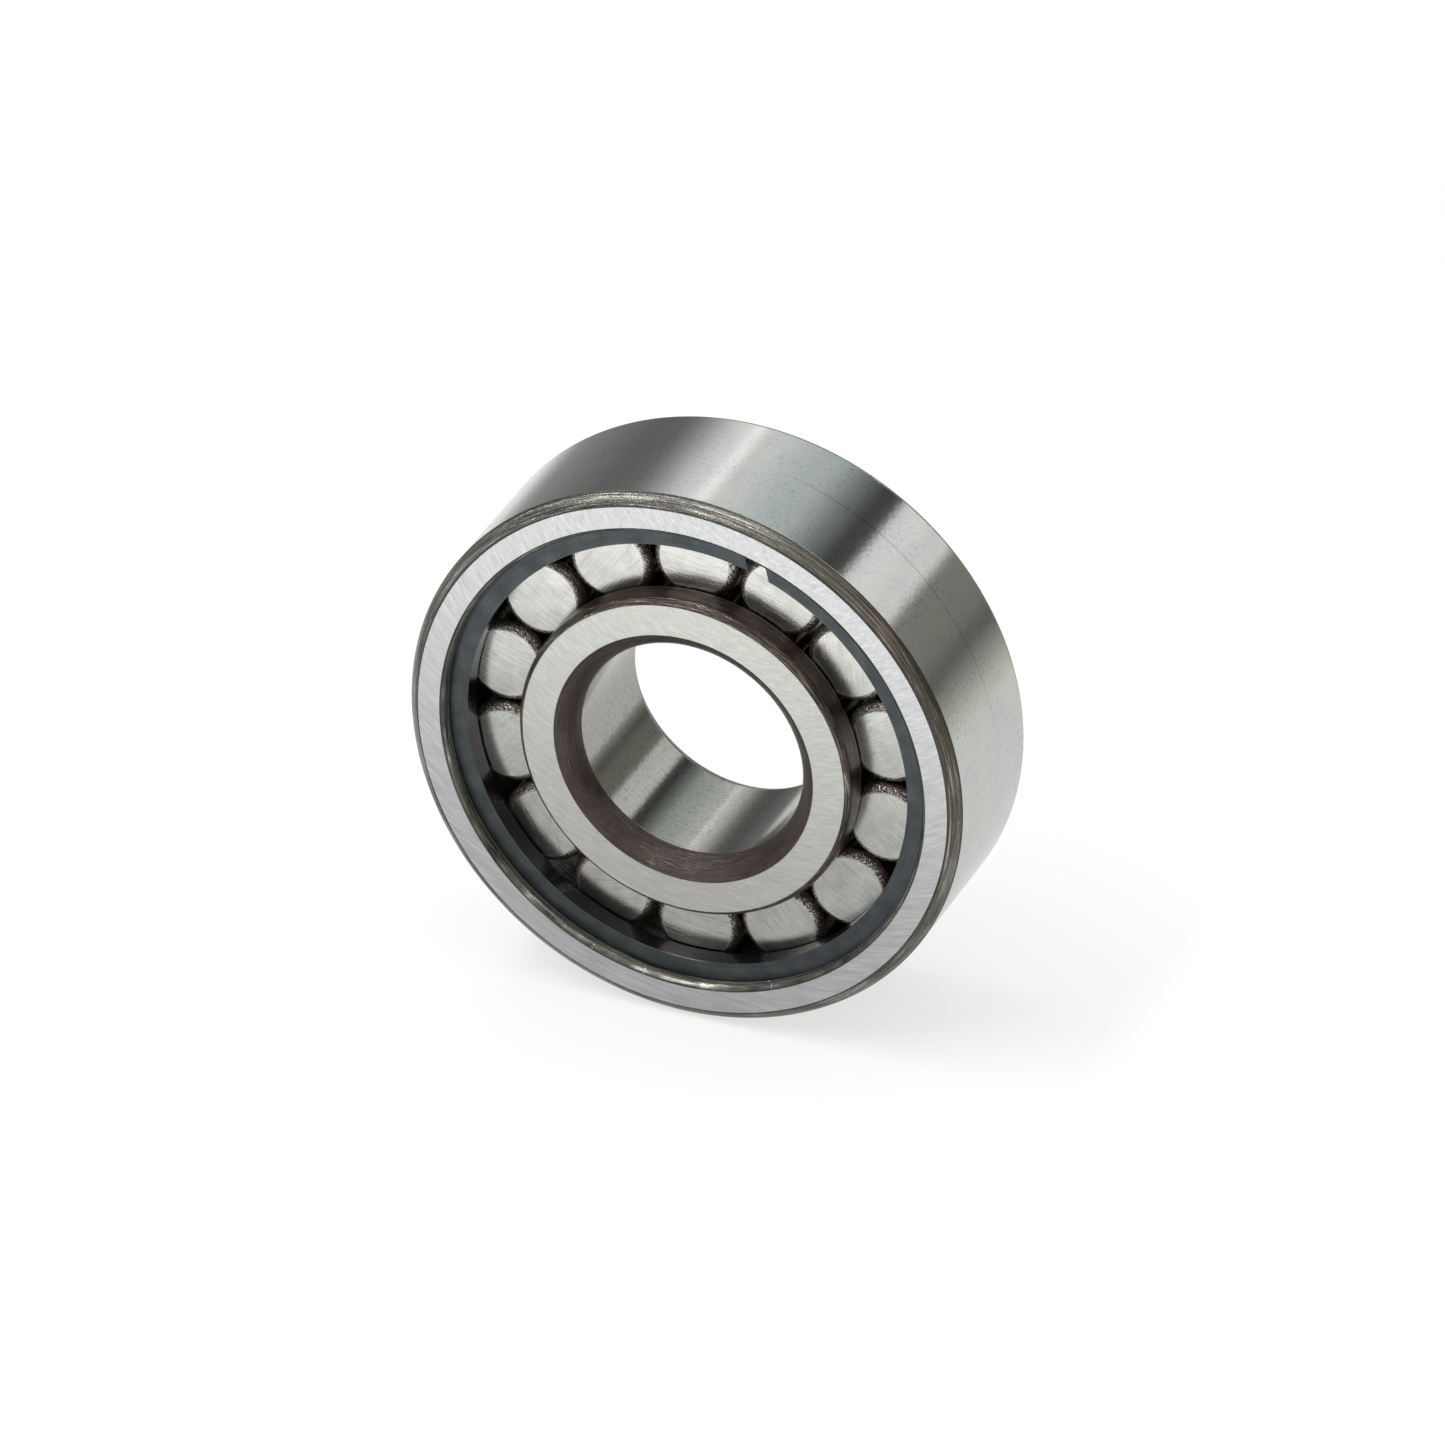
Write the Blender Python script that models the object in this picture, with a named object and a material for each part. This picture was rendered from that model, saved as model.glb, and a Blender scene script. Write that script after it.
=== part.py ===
"""Full-complement cylindrical roller bearing, 25 x 62 x 19 mm.

The bearing stands on its rim. Its axis runs along Y, and the side that the retaining ring closes
faces -Y. The origin is on the axis, at the middle of the overall width. Units are metres.

Four kinds of piece: an outer ring with one solid rib at the back and a groove at the front, a
retaining ring that snaps into that groove, an inner ring with two solid ribs, and the rollers,
which fill the raceway without a cage.
"""
import math

import bmesh
import bpy
from mathutils import Matrix, Vector

MM = 0.001

# Driving dimensions
BORE_DIAMETER = 25 * MM
OUTSIDE_DIAMETER = 62 * MM
RING_WIDTH = 19 * MM
ROLLER_DIAMETER = 9.5 * MM
ROLLER_LENGTH = 12.4 * MM
ROLLER_COUNT = 14
PITCH_RADIUS = 21.95 * MM
FIRST_ROLLER_ANGLE = math.radians(13.2)
INNER_RING_SETBACK = 0.55 * MM

# Clearances
RUNNING_CLEARANCE = 0.1 * MM
END_CLEARANCE = 0.2 * MM
GROOVE_CLEARANCE = 0.1 * MM
GROOVE_BOTTOM_CLEARANCE = 0.3 * MM

# Raceways
OUTER_RACEWAY_RADIUS = PITCH_RADIUS + ROLLER_DIAMETER / 2 + RUNNING_CLEARANCE
INNER_RACEWAY_RADIUS = PITCH_RADIUS - ROLLER_DIAMETER / 2 - RUNNING_CLEARANCE

# Outer ring
OUTER_CORNER = 1.3 * MM
OUTER_LAND_RADIUS = 26.75 * MM
OUTER_LAND_BREAK = 0.57 * MM
OUTER_RIB_RADIUS = 24.6 * MM
OUTER_RIB_BREAK = 0.4 * MM

# Retaining ring
SNAP_SETBACK = 1.45 * MM
SNAP_THICKNESS = 2.2 * MM
SNAP_INSIDE_RADIUS = 24.7 * MM
SNAP_OUTSIDE_RADIUS = 27.8 * MM
SNAP_EDGE_BREAK = 0.15 * MM
SNAP_GAP = 2.0 * MM
SNAP_GAP_ANGLE = math.radians(73)
SNAP_GAP_SKEW = math.radians(30)

# Inner ring
INNER_RIB_RADIUS = 18.7 * MM
INNER_RIB_CORNER_RADIAL = 0.65 * MM
INNER_RIB_CORNER_AXIAL = 0.85 * MM
BORE_CORNER_RADIAL = 2.1 * MM
BORE_CORNER_AXIAL = 2.6 * MM

# Rollers
ROLLER_CORNER = 0.91 * MM

# Where the sides are, along Y
OVERALL_WIDTH = RING_WIDTH + INNER_RING_SETBACK
OUTER_FRONT = -OVERALL_WIDTH / 2
OUTER_BACK = OUTER_FRONT + RING_WIDTH
INNER_FRONT = OUTER_FRONT + INNER_RING_SETBACK
INNER_BACK = INNER_FRONT + RING_WIDTH
ROLLER_MIDDLE = (INNER_FRONT + INNER_BACK) / 2
ROLLER_TRACK = ROLLER_LENGTH / 2 + END_CLEARANCE
SNAP_FRONT = OUTER_FRONT + SNAP_SETBACK
SNAP_BACK = SNAP_FRONT + SNAP_THICKNESS

# Fineness of the facets
RING_SEGMENTS = 72
ROLLER_SEGMENTS = 24
CORNER_STEPS = 3
SMALL_CORNER_STEPS = 2
SHARP_ANGLE = math.radians(35)

AXIS = Vector((0, 1, 0))


def rounded(start, end, centre, steps):
    """Points of a quarter ellipse between two (radius, y) points about its centre."""
    points = []
    for step in range(steps + 1):
        turn = math.pi / 2 * step / steps
        along_start = math.cos(turn)
        along_end = math.sin(turn)
        radius = centre[0] + (start[0] - centre[0]) * along_start + (end[0] - centre[0]) * along_end
        y = centre[1] + (start[1] - centre[1]) * along_start + (end[1] - centre[1]) * along_end
        points.append((radius, y))
    return points


def corner(face_radius, face_y, side_radius, side_y, steps, face_first=True):
    """A rounded corner from a side face at face_y to a cylinder of side_radius."""
    centre = (face_radius, side_y)
    points = rounded((face_radius, face_y), (side_radius, side_y), centre, steps)
    if face_first:
        return points
    return points[::-1]


def outer_ring_outline():
    """The outer ring's section: land, groove, raceway and rib inside, ground diameter outside."""
    outside = OUTSIDE_DIAMETER / 2
    face_edge = outside - OUTER_CORNER
    groove_front = SNAP_FRONT - GROOVE_CLEARANCE
    groove_back = SNAP_BACK + GROOVE_CLEARANCE
    groove_radius = SNAP_OUTSIDE_RADIUS + GROOVE_BOTTOM_CLEARANCE
    rib_face = ROLLER_MIDDLE + ROLLER_TRACK
    inside = [
        (OUTER_LAND_RADIUS + OUTER_LAND_BREAK, OUTER_FRONT),
        (OUTER_LAND_RADIUS, OUTER_FRONT + OUTER_LAND_BREAK),
        (OUTER_LAND_RADIUS, groove_front),
        (groove_radius, groove_front),
        (groove_radius, groove_back),
        (OUTER_RACEWAY_RADIUS, groove_back),
        (OUTER_RACEWAY_RADIUS, rib_face),
        (OUTER_RIB_RADIUS, rib_face),
        (OUTER_RIB_RADIUS, OUTER_BACK - OUTER_RIB_BREAK),
        (OUTER_RIB_RADIUS + OUTER_RIB_BREAK, OUTER_BACK),
    ]
    back = corner(face_edge, OUTER_BACK, outside, OUTER_BACK - OUTER_CORNER, CORNER_STEPS)
    front = corner(face_edge, OUTER_FRONT, outside, OUTER_FRONT + OUTER_CORNER, CORNER_STEPS,
                   face_first=False)
    return inside + back + front


def inner_ring_outline():
    """The inner ring's section: bore with long rounded corners, two ribs and the raceway."""
    bore = BORE_DIAMETER / 2
    bore_edge = bore + BORE_CORNER_RADIAL
    rib_edge = INNER_RIB_RADIUS - INNER_RIB_CORNER_RADIAL
    bore_front = corner(bore_edge, INNER_FRONT, bore, INNER_FRONT + BORE_CORNER_AXIAL, CORNER_STEPS)
    bore_back = corner(bore_edge, INNER_BACK, bore, INNER_BACK - BORE_CORNER_AXIAL, CORNER_STEPS,
                       face_first=False)
    rib_back = corner(rib_edge, INNER_BACK, INNER_RIB_RADIUS, INNER_BACK - INNER_RIB_CORNER_AXIAL,
                      SMALL_CORNER_STEPS)
    raceway = [
        (INNER_RIB_RADIUS, ROLLER_MIDDLE + ROLLER_TRACK),
        (INNER_RACEWAY_RADIUS, ROLLER_MIDDLE + ROLLER_TRACK),
        (INNER_RACEWAY_RADIUS, ROLLER_MIDDLE - ROLLER_TRACK),
        (INNER_RIB_RADIUS, ROLLER_MIDDLE - ROLLER_TRACK),
    ]
    rib_front = corner(rib_edge, INNER_FRONT, INNER_RIB_RADIUS, INNER_FRONT + INNER_RIB_CORNER_AXIAL,
                       SMALL_CORNER_STEPS, face_first=False)
    return bore_front + bore_back + rib_back + raceway + rib_front


def snap_ring_outline():
    """The retaining ring's section: a flat strip with its two inner edges broken."""
    return [
        (SNAP_INSIDE_RADIUS + SNAP_EDGE_BREAK, SNAP_FRONT),
        (SNAP_INSIDE_RADIUS, SNAP_FRONT + SNAP_EDGE_BREAK),
        (SNAP_INSIDE_RADIUS, SNAP_BACK - SNAP_EDGE_BREAK),
        (SNAP_INSIDE_RADIUS + SNAP_EDGE_BREAK, SNAP_BACK),
        (SNAP_OUTSIDE_RADIUS, SNAP_BACK),
        (SNAP_OUTSIDE_RADIUS, SNAP_FRONT),
    ]


def roller_outline():
    """Half of a roller's section, from one end's flat over the body to the other end's flat."""
    radius = ROLLER_DIAMETER / 2
    flat = radius - ROLLER_CORNER
    end = ROLLER_LENGTH / 2
    front = corner(flat, -end, radius, -end + ROLLER_CORNER, SMALL_CORNER_STEPS)
    back = corner(flat, end, radius, end - ROLLER_CORNER, SMALL_CORNER_STEPS, face_first=False)
    return front + back


def turned_mesh(name, outline, segments, closed=True):
    """Spin a (radius, y) outline about Y. An open outline gets a flat disc at each end."""
    bm = bmesh.new()
    verts = [bm.verts.new((radius, y, 0)) for radius, y in outline]
    edges = [bm.edges.new(pair) for pair in zip(verts, verts[1:])]
    if closed:
        edges.append(bm.edges.new((verts[-1], verts[0])))
    bmesh.ops.spin(bm, geom=verts + edges, cent=(0, 0, 0), axis=AXIS, angle=math.tau,
                   steps=segments, use_merge=True)
    if not closed:
        rims = [edge for edge in bm.edges if edge.is_boundary]
        bmesh.ops.holes_fill(bm, edges=rims, sides=0)
    bmesh.ops.recalc_face_normals(bm, faces=bm.faces)
    mesh = bpy.data.meshes.new(name)
    bm.to_mesh(mesh)
    bm.free()
    mesh.shade_smooth()
    mesh.set_sharp_from_angle(angle=SHARP_ANGLE)
    return mesh


def steel(name, colour, roughness):
    """A metal with its own colour and polish."""
    material = bpy.data.materials.new(name)
    material.use_nodes = True
    shader = material.node_tree.nodes["Principled BSDF"]
    shader.inputs["Base Color"].default_value = (*colour, 1)
    shader.inputs["Metallic"].default_value = 1
    shader.inputs["Roughness"].default_value = roughness
    return material


def place(name, mesh, location=(0, 0, 0), parent=None):
    """Put a named object into the scene."""
    piece = bpy.data.objects.new(name, mesh)
    piece.location = location
    piece.parent = parent
    bpy.context.collection.objects.link(piece)
    return piece


def add_outer_ring():
    mesh = turned_mesh("outer_ring", outer_ring_outline(), RING_SEGMENTS)
    mesh.materials.append(steel("outer_ring_steel", (0.58, 0.59, 0.59), 0.25))
    return place("outer_ring", mesh)


def add_inner_ring():
    mesh = turned_mesh("inner_ring", inner_ring_outline(), RING_SEGMENTS)
    mesh.materials.append(steel("inner_ring_steel", (0.56, 0.57, 0.53), 0.28))
    return place("inner_ring", mesh)


def gap_cutter():
    """A box through the retaining ring that leaves two parallel, skewed ends."""
    middle_radius = (SNAP_INSIDE_RADIUS + SNAP_OUTSIDE_RADIUS) / 2
    reach = 2 * (SNAP_OUTSIDE_RADIUS - SNAP_INSIDE_RADIUS)
    cutter = bpy.data.meshes.new("gap_cutter")
    bm = bmesh.new()
    bmesh.ops.create_cube(bm, size=1)
    bmesh.ops.scale(bm, vec=(reach, 2 * SNAP_THICKNESS, SNAP_GAP), verts=bm.verts)
    bm.to_mesh(cutter)
    bm.free()
    x = middle_radius * math.cos(SNAP_GAP_ANGLE)
    y = (SNAP_FRONT + SNAP_BACK) / 2
    z = middle_radius * math.sin(SNAP_GAP_ANGLE)
    box = place("gap_cutter", cutter, (x, y, z))
    box.rotation_euler = (0, -(SNAP_GAP_ANGLE + SNAP_GAP_SKEW), 0)
    box.hide_render = True
    box.display_type = "WIRE"
    return box


def add_snap_ring():
    mesh = turned_mesh("snap_ring", snap_ring_outline(), RING_SEGMENTS)
    mesh.materials.append(steel("snap_ring_steel", (0.09, 0.10, 0.12), 0.35))
    ring = place("snap_ring", mesh)
    cut = ring.modifiers.new("gap", "BOOLEAN")
    cut.operation = "DIFFERENCE"
    cut.solver = "EXACT"
    cut.object = gap_cutter()
    return ring


def add_rollers():
    """The full set of rollers on an empty that turns about the bearing's axis."""
    orbit = place("roller_orbit", None)
    mesh = turned_mesh("roller", roller_outline(), ROLLER_SEGMENTS, closed=False)
    mesh.materials.append(steel("roller_steel", (0.55, 0.56, 0.52), 0.22))
    for number in range(ROLLER_COUNT):
        angle = FIRST_ROLLER_ANGLE + math.tau * number / ROLLER_COUNT
        spot = Matrix.Rotation(-angle, 3, AXIS) @ Vector((PITCH_RADIUS, ROLLER_MIDDLE, 0))
        place(f"roller_{number + 1:02d}", mesh, spot, orbit)


for old in list(bpy.data.objects):
    bpy.data.objects.remove(old)

add_outer_ring()
add_inner_ring()
add_snap_ring()
add_rollers()
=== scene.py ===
# %% [markdown]
# # A cylindrical roller bearing without a cage
#
# The bearing has an outer ring, an inner ring, fourteen rollers and an open retaining ring that
# keeps the rollers in from the front. Every piece is turned or ground steel, so nearly every
# shape here is one outline carried round an axis.
#
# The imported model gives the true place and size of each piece. It is loaded first and it never
# changes. The pieces made below are finer copies that ride on its bodies.

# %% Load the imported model
import math

import bmesh
import bpy
from mathutils import Matrix, Vector


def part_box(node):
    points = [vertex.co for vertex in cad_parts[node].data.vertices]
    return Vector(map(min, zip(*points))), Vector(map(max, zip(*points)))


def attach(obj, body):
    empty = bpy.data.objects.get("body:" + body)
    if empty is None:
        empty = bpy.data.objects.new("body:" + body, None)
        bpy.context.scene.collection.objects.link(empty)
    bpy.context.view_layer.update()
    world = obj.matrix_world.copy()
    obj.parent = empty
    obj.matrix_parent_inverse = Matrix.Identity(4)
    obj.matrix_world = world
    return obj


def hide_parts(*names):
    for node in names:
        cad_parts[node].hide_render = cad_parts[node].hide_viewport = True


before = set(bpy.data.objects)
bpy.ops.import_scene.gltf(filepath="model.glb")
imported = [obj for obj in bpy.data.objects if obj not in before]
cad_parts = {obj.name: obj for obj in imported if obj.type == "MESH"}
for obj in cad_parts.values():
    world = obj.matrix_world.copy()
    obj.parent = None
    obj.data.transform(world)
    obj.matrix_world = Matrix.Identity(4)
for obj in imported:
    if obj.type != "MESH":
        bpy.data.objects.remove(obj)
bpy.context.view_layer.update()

# %% [markdown]
# ## Sizes
#
# A copy that is measured from the model can't drift away from it. The outer sizes of each ring,
# the circle that the rollers run on and the place of the first roller all come from the boxes
# of the model's own solids. The small sizes that a box can't give are written out in
# millimetres, because that is how a bearing maker would state them.

# %% Measure the rings and the first roller
MM = 0.001


def ring_sizes(node):
    """Outside radius, front and back of a ring whose axis is Y."""
    low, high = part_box(node)
    return high[0], low[1], high[1]


outer_radius, outer_front, outer_back = ring_sizes("outer_ring")
inner_radius, inner_front, inner_back = ring_sizes("inner_ring")
snap_radius, snap_front, snap_back = ring_sizes("snap_ring")
roller_low, roller_high = (Vector(corner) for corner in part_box("roller_01"))
roller_centre = (roller_low + roller_high) / 2
roller_front = roller_low.y
roller_back = roller_high.y
pitch_radius = math.hypot(roller_centre.x, roller_centre.z)
first_angle = math.atan2(roller_centre.z, roller_centre.x)
roller_names = sorted(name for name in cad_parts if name.startswith("roller_"))
print(f"outer ring {outer_radius / MM:.2f} mm in radius, {len(roller_names)} rollers")
print(f"pitch radius {pitch_radius / MM:.2f} mm, first roller at {math.degrees(first_angle):.1f}")

# %% Sizes that the boxes don't give
ROLLER_RADIUS = 4.75 * MM
ROLLER_FLAT = 3.84 * MM
ROLLER_CORNER = 0.91 * MM
OUTER_CORNER = 1.3 * MM
LAND_RADIUS = 26.75 * MM
LAND_BREAK = 0.57 * MM
OUTER_RACEWAY = 26.8 * MM
REAR_RIB_RADIUS = 24.6 * MM
GROOVE_RADIUS = 28.1 * MM
GROOVE_SLACK = 0.1 * MM
SNAP_BORE = 24.7 * MM
SNAP_GAP = 2.0 * MM
SNAP_GAP_ANGLE = math.radians(73)
SNAP_GAP_SKEW = math.radians(30)
SNAP_EDGE_BREAK = 0.10 * MM
BORE_RADIUS = 12.5 * MM
BORE_CORNER_RADIAL = 2.1 * MM
BORE_CORNER_AXIAL = 2.6 * MM
RIB_CORNER_RADIAL = 0.65 * MM
RIB_CORNER_AXIAL = 0.85 * MM
INNER_RACEWAY = 17.1 * MM
END_PLAY = 0.2 * MM
UNDERCUT_WIDTH = 0.9 * MM
UNDERCUT_DEPTH = 0.25 * MM
RIB_EDGE_BREAK = 0.08 * MM
RING_EDGE_BREAK = 0.06 * MM
REAR_RIB_EDGE = 0.2 * MM
REAR_RIB_BREAK = 0.4 * MM
END_DOME = 0.05 * MM
SIDE_CROWN = 0.012 * MM

# %% [markdown]
# ## Outlines
#
# A turned piece is described by its section, as on a maker's drawing: a list of points, each
# with a distance from the axis and a place along it. The list runs clockwise, so the steel is
# always on its right and every rounding turns the same way.
#
# A ground face meets a turned corner at a slight crease, because the grinding wheel cuts the
# end off the rounding. So a rounding here turns through less than 90 degrees, which leaves a
# crease at each end that catches the light as the real one does.

# %% Helpers for outlines
CREASE = math.radians(8)
GROUND_ARC = 62
REAR_BORE_ARC = 44
ROLLER_ARC = 66


def rounding(start, end, turn=GROUND_ARC, steps=12):
    """Points on an arc from start to end that bulges away from the steel. Turn is in degrees."""
    start = Vector(start)
    end = Vector(end)
    chord = end - start
    half = math.radians(turn) / 2
    centre = (start + end) / 2 - Vector((-chord.y, chord.x)) / (2 * math.tan(half))
    spoke = start - centre
    return [tuple(centre + Matrix.Rotation(-2 * half * step / steps, 2) @ spoke)
            for step in range(steps + 1)]


def outline_mesh(name, points):
    """A chain of points and edges, with radius as x and place along the axis as y."""
    mesh = bpy.data.meshes.new(name)
    chain = [(index, index + 1) for index in range(len(points) - 1)]
    mesh.from_pydata([(radius, y, 0) for radius, y in points], chain, [])
    return mesh


def undercut(radius, y, depth, towards):
    """Points of the small relief groove where a raceway meets a rib at y."""
    width = UNDERCUT_WIDTH * towards
    return [(radius, y - width), (radius + depth, y - width * 0.72), (radius + depth, y)]


# %% Outline of the outer ring
def outer_ring_outline():
    """Front land, groove, raceway and rear rib inside, then the ground outside."""
    edge = RING_EDGE_BREAK
    groove_front = snap_front - GROOVE_SLACK
    groove_back = snap_back + GROOVE_SLACK
    rib_face = roller_back + END_PLAY
    front_break = rounding((LAND_RADIUS + LAND_BREAK, outer_front),
                           (LAND_RADIUS, outer_front + LAND_BREAK), steps=6)
    groove = [(LAND_RADIUS, groove_front - edge), (LAND_RADIUS + edge, groove_front),
              (GROOVE_RADIUS, groove_front), (GROOVE_RADIUS, groove_back),
              (OUTER_RACEWAY + 3 * edge, groove_back), (OUTER_RACEWAY, groove_back + 3 * edge)]
    raceway = undercut(OUTER_RACEWAY, rib_face, UNDERCUT_DEPTH, 1)
    rib = [(REAR_RIB_RADIUS + REAR_RIB_EDGE, rib_face),
           (REAR_RIB_RADIUS, rib_face + REAR_RIB_EDGE)]
    rib_break = rounding((REAR_RIB_RADIUS, outer_back - REAR_RIB_BREAK),
                         (REAR_RIB_RADIUS + REAR_RIB_BREAK, outer_back), steps=6)
    back_corner = rounding((outer_radius - OUTER_CORNER, outer_back),
                           (outer_radius, outer_back - OUTER_CORNER))
    front_corner = rounding((outer_radius, outer_front + OUTER_CORNER),
                            (outer_radius - OUTER_CORNER, outer_front))
    closed = front_break + groove + raceway + rib + rib_break + back_corner + front_corner
    return closed + closed[:1]


print(f"outer ring outline: {len(outer_ring_outline())} points")


# %% Outline of the inner ring
def inner_ring_outline():
    """Bore with long rounded corners, two ribs and the raceway between them."""
    bore_edge = BORE_RADIUS + BORE_CORNER_RADIAL
    rib_edge = inner_radius - RIB_CORNER_RADIAL
    front_rib_face = roller_front - END_PLAY
    back_rib_face = roller_back + END_PLAY
    bore = rounding((bore_edge, inner_front), (BORE_RADIUS, inner_front + BORE_CORNER_AXIAL))
    bore += rounding((BORE_RADIUS, inner_back - BORE_CORNER_AXIAL), (bore_edge, inner_back),
                     REAR_BORE_ARC)
    back_rib = rounding((rib_edge, inner_back), (inner_radius, inner_back - RIB_CORNER_AXIAL))
    back_rib += [(inner_radius, back_rib_face + RIB_EDGE_BREAK),
                 (inner_radius - RIB_EDGE_BREAK, back_rib_face)]
    raceway = undercut(INNER_RACEWAY, back_rib_face, -UNDERCUT_DEPTH, 1)[::-1]
    raceway += undercut(INNER_RACEWAY, front_rib_face, -UNDERCUT_DEPTH, -1)
    front_rib = [(inner_radius - RIB_EDGE_BREAK, front_rib_face),
                 (inner_radius, front_rib_face - RIB_EDGE_BREAK)]
    front_rib += rounding((inner_radius, inner_front + RIB_CORNER_AXIAL), (rib_edge, inner_front))
    closed = bore + back_rib + raceway + front_rib
    return closed + closed[:1]


print(f"inner ring outline: {len(inner_ring_outline())} points")


# %% Outlines of the retaining ring and of a roller
def snap_ring_outline():
    """A plain rectangle: the ring's edges are rounded after its gap is cut."""
    corners = [(SNAP_BORE, snap_front), (SNAP_BORE, snap_back),
               (snap_radius, snap_back), (snap_radius, snap_front)]
    return corners + corners[:1]


def roller_outline():
    """From the middle of the back end to the middle of the front end, about the roller's axis."""
    half = (roller_back - roller_front) / 2
    straight = half - 2 * ROLLER_CORNER

    def end(towards):
        """Points of one end, from its middle to the side."""
        face = [(ROLLER_FLAT * step / 6, (half - END_DOME * (step / 6) ** 2) * towards)
                for step in range(7)]
        start = (ROLLER_FLAT + 0.02 * MM, (half - END_DOME - 0.012 * MM) * towards)
        stop = (ROLLER_RADIUS - SIDE_CROWN, (half - ROLLER_CORNER) * towards)
        if towards > 0:
            return face + rounding(start, stop, ROLLER_ARC, 10)
        return face + rounding(stop, start, ROLLER_ARC, 10)[::-1]

    crown = [(ROLLER_RADIUS, straight), (ROLLER_RADIUS, -straight)]
    return end(1) + crown + end(-1)[::-1]


print(f"roller outline: {len(roller_outline())} points")

# %% [markdown]
# ## Nodes as sums
#
# Both Geometry Nodes and materials are trees of nodes. Placing each node by hand hides the sum
# that they do, so a small class stands for one output socket and lets Python's own signs add
# the nodes. Any other node comes from one method, which takes its type, its settings and its
# sockets.


# %% A socket that can do sums, and a bench to place nodes on
class Wire:
    """One output socket. Signs such as + and * add Math nodes behind it."""

    def __init__(self, bench, socket):
        self.bench = bench
        self.socket = socket

    def __add__(self, other):
        return self.bench.maths("ADD", self, other)

    def __sub__(self, other):
        return self.bench.maths("SUBTRACT", self, other)

    def __mul__(self, other):
        return self.bench.maths("MULTIPLY", self, other)

    def __truediv__(self, other):
        return self.bench.maths("DIVIDE", self, other)

    def __radd__(self, other):
        return self.bench.maths("ADD", other, self)

    def __rsub__(self, other):
        return self.bench.maths("SUBTRACT", other, self)

    def __rmul__(self, other):
        return self.bench.maths("MULTIPLY", other, self)

    def __rtruediv__(self, other):
        return self.bench.maths("DIVIDE", other, self)


class Bench:
    """A node tree with one way to place a node on it."""

    def __init__(self, tree):
        self.tree = tree

    def node(self, kind, settings, sockets, out=0):
        """Places a node. Settings come first, then the values or links of its sockets."""
        node = self.tree.nodes.new(kind)
        for name, value in settings.items():
            if name == "stops":
                self.set_stops(node.color_ramp, value)
            else:
                setattr(node, name, value)
        for key, value in sockets.items():
            if isinstance(value, Wire):
                self.tree.links.new(value.socket, node.inputs[key])
            else:
                node.inputs[key].default_value = value
        if out is None:
            return None
        if isinstance(out, tuple):
            return [Wire(self, node.outputs[key]) for key in out]
        return Wire(self, node.outputs[out])

    def set_stops(self, ramp, stops):
        """Gives a colour ramp its stops, each a place from 0 to 1 and a colour."""
        while len(ramp.elements) < len(stops):
            ramp.elements.new(1.0)
        for element, (place, colour) in zip(ramp.elements, stops):
            element.position = place
            element.color = (*colour, 1.0)

    def maths(self, operation, *values):
        """A Math node."""
        return self.node("ShaderNodeMath", {"operation": operation}, dict(enumerate(values)))

    def parts(self, vector):
        """The x, y and z of a vector."""
        return self.node("ShaderNodeSeparateXYZ", {}, {0: vector}, out=(0, 1, 2))

    def vector(self, x, y, z):
        """A vector from three values."""
        return self.node("ShaderNodeCombineXYZ", {}, {0: x, 1: y, 2: z})


# %% [markdown]
# ## The lathe
#
# A lathe turns one outline into a solid. The Screw modifier and bmesh's spin can do that too.
# A Geometry Nodes tree is used because it takes the outline, the number of facets and the
# finish as named inputs, and because the roller tree further on can call it as one node.
#
# The tree makes a flat grid with one row for each point of the outline, then moves every
# grid point to where the lathe would leave it. Merging closes the seam and the poles.


# %% Named inputs of a tree, and the modifier that runs it
def new_shape_tree(name, inputs):
    """A Geometry Nodes tree with a Geometry input, the named inputs and a Geometry output."""
    tree = bpy.data.node_groups.new(name, "GeometryNodeTree")
    tree.interface.new_socket("Geometry", in_out="INPUT", socket_type="NodeSocketGeometry")
    for label, kind in inputs:
        tree.interface.new_socket(label, in_out="INPUT", socket_type=kind)
    tree.interface.new_socket("Geometry", in_out="OUTPUT", socket_type="NodeSocketGeometry")
    bench = Bench(tree)
    labels = ["Geometry"] + [label for label, kind in inputs]
    wires = bench.node("NodeGroupInput", {}, {}, out=tuple(labels))
    return bench, dict(zip(labels, wires))


def finish_shape_tree(bench, geometry, finish):
    """Ends a tree with Realize Instances and Set Material."""
    solid = bench.node("GeometryNodeRealizeInstances", {}, {"Geometry": geometry})
    painted = bench.node("GeometryNodeSetMaterial", {}, {"Geometry": solid, "Material": finish})
    bench.node("NodeGroupOutput", {}, {0: painted}, out=None)


def run_shape_tree(name, mesh, tree, values):
    """A new object with the tree as a modifier, its inputs set by their identifiers."""
    piece = bpy.data.objects.new(name, mesh)
    bpy.context.scene.collection.objects.link(piece)
    modifier = piece.modifiers.new(tree.name, "NODES")
    modifier.node_group = tree
    for item in tree.interface.items_tree:
        if item.in_out == "INPUT" and item.name in values:
            modifier[item.identifier] = values[item.name]
    return piece


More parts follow.
